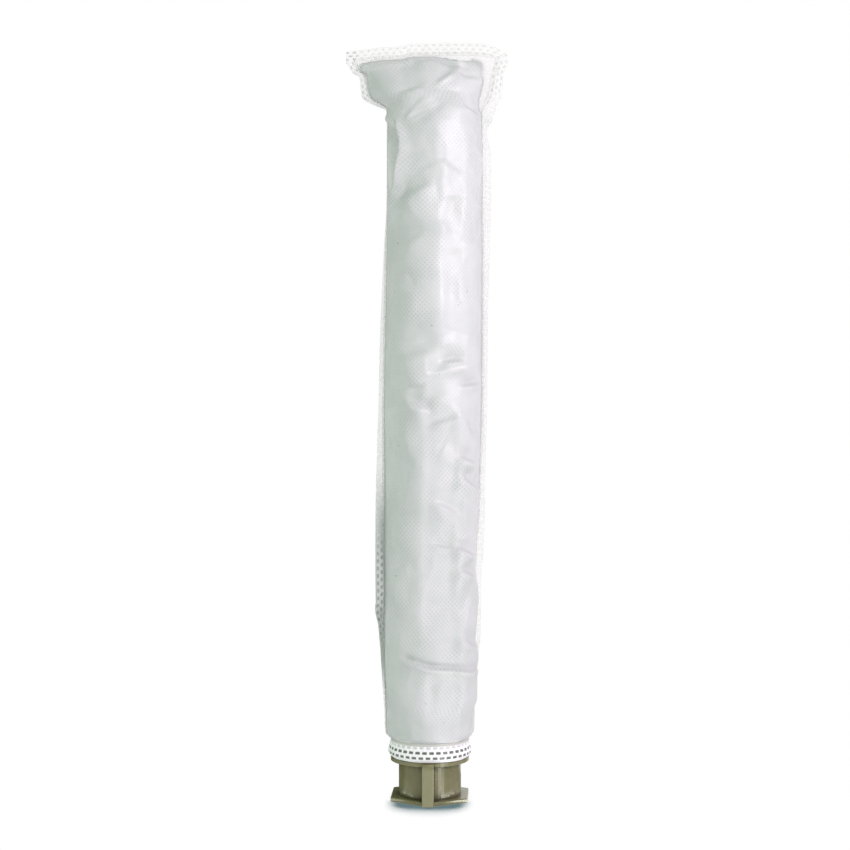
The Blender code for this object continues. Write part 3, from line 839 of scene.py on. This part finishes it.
def finish_fabric(g, colour, rough, height, through, open_web=None):
    """Matte cloth. through is the share of light it passes on, open_web the share that is holes."""
    bump = g.add("ShaderNodeBump", {"Height": height, "Distance": 0.00012, "Strength": 0.55})
    normal = bump.outputs[0]
    shader = g.add(
        "ShaderNodeBsdfPrincipled",
        {
            "Base Color": colour,
            "Roughness": rough,
            "Normal": normal,
            "Specular IOR Level": 0.55,
            "Sheen Weight": 0.10,
            "Sheen Roughness": 0.5,
        },
    )
    glow = g.add("ShaderNodeBsdfTranslucent", {"Color": colour, "Normal": normal})
    mix = g.add("ShaderNodeMixShader", {0: through, 1: shader.outputs[0], 2: glow.outputs[0]})
    if open_web is not None:
        gaps = g.add("ShaderNodeBsdfTransparent")
        mix = g.add("ShaderNodeMixShader", {0: open_web, 1: mix.outputs[0], 2: gaps.outputs[0]})
    g.add("ShaderNodeOutputMaterial", {"Surface": mix.outputs[0]})


def panel_material():
    """The pillow's fabric: painted highlights along sharp creases, and beside the weld a more open
    web that is painted whiter for the light shining through it.
    """
    material, g = new_material("panel_fabric")
    colour, rough, height = add_web(g, white=0.83, dot_share=1.0)
    # Painted highlight along the sharp creases.
    colour = g.share_blend(g.point_value("crease"), 0.85, colour, CREASE_HIGHLIGHT_TONE)
    margin = g.point_value("margin")
    # Painted light: beside the weld the colour turns whiter, for the light that shines through the
    # thin plies; the openness below is real.
    colour = g.share_blend(g.remap(margin, 0.6, 1.0), 0.9, colour, BACKLIT_MARGIN_TONE)
    through = g.remap(margin, 0.0, 1.0, 0.22, 0.62)
    open_web = g.maths("MULTIPLY", g.remap(margin, 0.75, 1.0), 0.80)
    finish_fabric(g, colour, rough, height, through, open_web)
    return material


def edge_material():
    """The margin's fabric: open, with weld marks, painted lighter for the light shining through it,
    and duller and closer low on the left.
    """
    material, g = new_material("edge_fabric")
    # Painted light: the margin's web is painted lighter than the pillow's, for the light that
    # shines through it.
    colour, rough, height = add_web(g, white=1.07, dot_share=0.35)
    colour = g.blend(0.6, colour, EDGE_WEB)
    dulled = g.point_value("dulled")
    colour = g.share_blend(dulled, 0.75, colour, DULL_EDGE)
    open_web = g.maths("MULTIPLY", g.remap(dulled, 0.0, 1.0, 1.0, 0.25), 0.60)
    finish_fabric(g, *add_weld_marks(g, colour, rough, height, EDGE_MARK_COLOUR), 0.60, open_web)
    return material


def hem_material():
    """The hem's fabric: closed and white, with dark weld marks and a beige band above them."""
    material, g = new_material("hem_fabric")
    colour, rough, height = add_web(g, white=1.18, dot_share=0.35)
    colour = g.share_blend(g.point_value("rim"), 0.85, colour, HEM_BAND)
    finish_fabric(g, *add_weld_marks(g, colour, rough, height, HEM_MARK_COLOUR), 0.08)
    return material


PLASTIC_TONES = ((0.146, 0.143, 0.062, 1), (0.174, 0.167, 0.077, 1))
PLASTIC_SPECKS = (0.40, 0.38, 0.28, 1)
PLASTIC_EDGE_HIGHLIGHT = (0.36, 0.36, 0.22, 1)
PLASTIC_CORNER_SHADE = (0.045, 0.038, 0.018, 1)


def plastic_material():
    """Moulded olive-tan plastic: half gloss, faintly cloudy, with painted highlights on its edges
    and painted shade in its corners.
    """
    material, g = new_material("adapter_plastic")
    here = g.add("ShaderNodeTexCoord").outputs["Object"]
    flow = g.noise(here, 90.0, 3.0, 0.55)
    grain = g.noise(here, 2600.0, 2.0, 0.5)
    specks = g.remap(g.noise(here, 900.0, 1.0, 0.4), 0.72, 0.78)
    colour = g.blend(g.remap(flow, 0.3, 0.7), *PLASTIC_TONES)
    colour = g.share_blend(specks, 0.5, colour, PLASTIC_SPECKS)
    # Painted highlight: the colour turns lighter on sharp edges.
    edge = g.add("ShaderNodeNewGeometry").outputs["Pointiness"]
    colour = g.share_blend(g.remap(edge, 0.52, 0.60), 0.45, colour, PLASTIC_EDGE_HIGHLIGHT)
    # Painted shade: the colour darkens where the surface is closed in, at corners and crevices.
    corner = g.add("ShaderNodeAmbientOcclusion", {"Distance": 0.004}, samples=8, only_local=True)
    corner_shade_share = g.remap(corner.outputs["AO"], 0.86, 0.42, 0.0, 0.85)
    colour = g.blend(corner_shade_share, colour, PLASTIC_CORNER_SHADE)
    rough = g.remap(flow, 0.2, 0.8, 0.17, 0.25)
    bump = g.add("ShaderNodeBump", {"Height": grain, "Distance": 0.00003, "Strength": 0.35})
    shader = g.add(
        "ShaderNodeBsdfPrincipled",
        {
            "Base Color": colour,
            "Roughness": rough,
            "Normal": bump.outputs[0],
            "Specular IOR Level": 0.5,
            "IOR": 1.42,
        },
    )
    g.add("ShaderNodeOutputMaterial", {"Surface": shader.outputs[0]})
    return material


# ---------------------------------------------------------------- the pieces
panel_fabric = panel_material()
front_sleeve = build_sleeve("front_sleeve", 1, FRONT_FOLDS, 11)
back_sleeve = build_sleeve("back_sleeve", -1, BACK_FOLDS, 31)
welded_edge = build_welded_edge()
welded_hem = build_hem()
for piece, material in (
    (front_sleeve, panel_fabric),
    (back_sleeve, panel_fabric),
    (welded_edge, edge_material()),
    (welded_hem, hem_material()),
):
    piece.data.materials.append(material)
    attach(piece, "root")
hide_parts("front_panel")
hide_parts("back_panel")

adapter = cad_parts["adapter"]
adapter.data.materials.clear()
adapter.data.materials.append(plastic_material())


# ---------------------------------------------------------------- stage, light and camera
SHADOW_REACH = 0.022
SHADOW_COLOUR = (0.13, 0.20, 0.215, 1)
FLOOR_HALF = 8.0
FACE = [(0, 1, 2, 3)]


def flat_object(name, corners, material):
    """An object of one face."""
    mesh = bpy.data.meshes.new(name)
    mesh.from_pydata(corners, [], FACE)
    mesh.materials.append(material)
    made = bpy.data.objects.new(name, mesh)
    bpy.context.scene.collection.objects.link(made)
    return made


def floor_material():
    """Pale floor that reads white to the camera, with a painted soft bluish shadow under the part.
    """
    material, g = new_material("pale_floor")
    path = g.add("ShaderNodeLightPath")
    seen = g.maths("MAXIMUM", path.outputs["Is Camera Ray"], path.outputs["Is Glossy Ray"])
    seen = g.maths("MAXIMUM", seen, path.outputs["Is Transmission Ray"])
    plain = g.add("ShaderNodeBsdfDiffuse", {"Color": (0.93, 0.93, 0.94, 1)})
    # Painted shadow: darker where ambient occlusion finds the part near, strongly in front of the
    # base and faintly around it, for camera rays alone.
    open_air = g.add("ShaderNodeAmbientOcclusion", {"Distance": SHADOW_REACH}, samples=8)
    here = g.add("ShaderNodeSeparateXYZ", {0: g.add("ShaderNodeTexCoord").outputs["Object"]})
    aside = g.maths("ABSOLUTE", here.outputs[0], 0.0)
    before = g.remap(here.outputs[1], -0.004, -0.013)
    front = g.maths("MULTIPLY", before, g.remap(aside, 0.0245, 0.0150))
    cover = g.maths("SUBTRACT", 1.0, g.remap(open_air.outputs["AO"], 0.74, 0.99))
    near = g.maths("SUBTRACT", 1.0, g.remap(open_air.outputs["AO"], 0.25, 0.70))
    near = g.maths("MULTIPLY", near, 0.40)
    cover = g.maths("MAXIMUM", g.maths("MULTIPLY", cover, front), near)
    cover = g.maths("MULTIPLY", cover, path.outputs["Is Camera Ray"])
    light = g.maths("SUBTRACT", 1.0, cover)
    shade = g.blend(light, SHADOW_COLOUR, (1.01, 1.01, 1.01, 1))
    glow = g.add("ShaderNodeEmission", {"Color": shade})
    mix = g.add("ShaderNodeMixShader", {0: seen, 1: plain.outputs[0], 2: glow.outputs[0]})
    g.add("ShaderNodeOutputMaterial", {"Surface": mix.outputs[0]})
    return material


half = FLOOR_HALF
floor_corners = [(-half, -half, 0), (half, -half, 0), (half, half, 0), (-half, half, 0)]
floor = flat_object("floor", floor_corners, floor_material())

ROOM_LEFT = (1.000, 1.165, 0.995, 1)
ROOM_RIGHT = (0.600, 0.520, 0.650, 1)
ROOM_REAR = (1.25, 1.25, 1.25, 1)
ROOM_IN_GLOSS = (0.04, 0.04, 0.03, 1)


def build_world():
    """A white world to the camera, and to the part a soft room.

    The room is greenish on the left, dimmer and violet on the right, light behind the part and
    lighter below than above. What the gloss sees of its left is dark.
    """
    world = bpy.data.worlds.new("studio")
    world.use_nodes = True
    bpy.context.scene.world = world
    g = Graph(world.node_tree)
    path = g.add("ShaderNodeLightPath")
    glossy = path.outputs["Is Glossy Ray"]
    toward = g.add("ShaderNodeSeparateXYZ", {0: g.add("ShaderNodeTexCoord").outputs["Generated"]})
    to_right, to_rear, upward = toward.outputs
    colour = g.blend(g.remap(to_right, -0.9, 0.9, kind="LINEAR"), ROOM_LEFT, ROOM_RIGHT)
    dim = g.remap(to_right, -0.4, 0.5, 0.80, 0.0, kind="LINEAR")
    colour = g.share_blend(dim, glossy, colour, ROOM_IN_GLOSS)
    not_glossy = g.maths("SUBTRACT", 1.0, glossy)
    colour = g.share_blend(g.remap(to_rear, 0.05, 0.6), not_glossy, colour, ROOM_REAR)
    strength = g.remap(upward, 0.0, 0.9, 1.16, 0.78, kind="LINEAR")
    room = g.add("ShaderNodeBackground", {"Color": colour, "Strength": strength})
    white = g.add("ShaderNodeBackground", {"Color": (1, 1, 1, 1), "Strength": 1.0})
    seen = g.maths("MAXIMUM", path.outputs["Is Camera Ray"], path.outputs["Is Transmission Ray"])
    mix = g.add("ShaderNodeMixShader", {0: seen, 1: room.outputs[0], 2: white.outputs[0]})
    g.add("ShaderNodeOutputWorld", {0: mix.outputs[0]})


build_world()

# The one lamp stands at the front right, a little above the place on the sleeve that it faces.
KEY_AZIMUTH = math.radians(48)
KEY_ELEVATION = math.radians(10)
KEY_DISTANCE = 0.95
KEY_AIM = Vector((0, 0, 0.30))
KEY_SIZE = (0.12, 0.26)
KEY_POWER = 1.52
KEY_COLOUR = (1.0, 0.885, 0.985)
KEY_SPREAD = math.radians(90)


def turn_towards(made, away):
    """Turns a lamp or camera to look back along the direction away from its aim."""
    made.rotation_mode = "QUATERNION"
    made.rotation_quaternion = (-away).to_track_quat("-Z", "Y")


def add_key():
    """A soft rectangular lamp."""
    lamp = bpy.data.lights.new("key", "AREA")
    lamp.shape = "RECTANGLE"
    lamp.size, lamp.size_y = KEY_SIZE
    lamp.energy, lamp.color, lamp.spread = KEY_POWER, KEY_COLOUR, KEY_SPREAD
    key = bpy.data.objects.new("key", lamp)
    level = math.cos(KEY_ELEVATION)
    away = Vector(
        (math.sin(KEY_AZIMUTH) * level, -math.cos(KEY_AZIMUTH) * level, math.sin(KEY_ELEVATION))
    )
    key.location = KEY_AIM + away * KEY_DISTANCE
    turn_towards(key, away)
    bpy.context.scene.collection.objects.link(key)


add_key()

CARD_LIFT = 0.0004


def arc_card(first, last, near, far):
    """Corners of a card on the floor: its arc in degrees from the front to the right, its reach."""
    return [
        (r * math.sin(math.radians(a)), -r * math.cos(math.radians(a)), CARD_LIFT)
        for r, a in ((near, first), (far, first), (far, last), (near, last))
    ]


def upright_card(left, right, low, high, y):
    """Corners of a card that stands behind the part."""
    return [(left, y, low), (right, y, low), (right, y, high), (left, y, high)]


# Cards that only the gloss on the adapter sees, and the strength of each
CARDS = [
    ("card_neck", arc_card(26, 47, 0.034, 0.30), 6.5),
    ("card_right", arc_card(34, 74, 0.0245, 0.0310), 17.0),
    ("card_left", arc_card(-84, -44, 0.0245, 0.0310), 6.0),
    ("card_dark_left", arc_card(-176, -92, 0.026, 0.50), 0.10),
    ("card_dark_right", arc_card(105, 176, 0.026, 0.50), 0.45),
    ("card_rear_left", upright_card(-0.060, -0.012, 0.001, 0.050, 0.050), 0.03),
    ("card_rear_right", upright_card(0.012, 0.060, 0.001, 0.050, 0.050), 1.2),
]
for name, corners, strength in CARDS:
    material, g = new_material(name)
    bright = g.add("ShaderNodeEmission", {"Color": (1.0, 1.0, 0.95, 1), "Strength": strength})
    g.add("ShaderNodeOutputMaterial", {"Surface": bright.outputs[0]})
    card = flat_object(name, corners, material)
    card.visible_camera = card.visible_diffuse = False
    card.visible_shadow = card.visible_transmission = False

# The camera stands level, a little right of square to the top seam.
CAMERA_AZIMUTH = math.radians(3)
CAMERA_DISTANCE = 0.800
CAMERA_HEIGHT = 0.1956
CAMERA_ASIDE = -0.0026
CAMERA_LENS = 64.4
CAMERA_SENSOR = 36.0
camera_data = bpy.data.cameras.new("camera")
camera_data.sensor_width = CAMERA_SENSOR
camera_data.lens = CAMERA_LENS
camera = bpy.data.objects.new("camera", camera_data)
bpy.context.scene.collection.objects.link(camera)
away = Vector((math.sin(CAMERA_AZIMUTH), -math.cos(CAMERA_AZIMUTH), 0))
aside = Vector((math.cos(CAMERA_AZIMUTH), math.sin(CAMERA_AZIMUTH), 0))
up = Vector((0, 0, CAMERA_HEIGHT))
camera.location = away * CAMERA_DISTANCE + aside * CAMERA_ASIDE + up
turn_towards(camera, away)
bpy.context.scene.camera = camera

bpy.context.scene.view_settings.view_transform = "Standard"
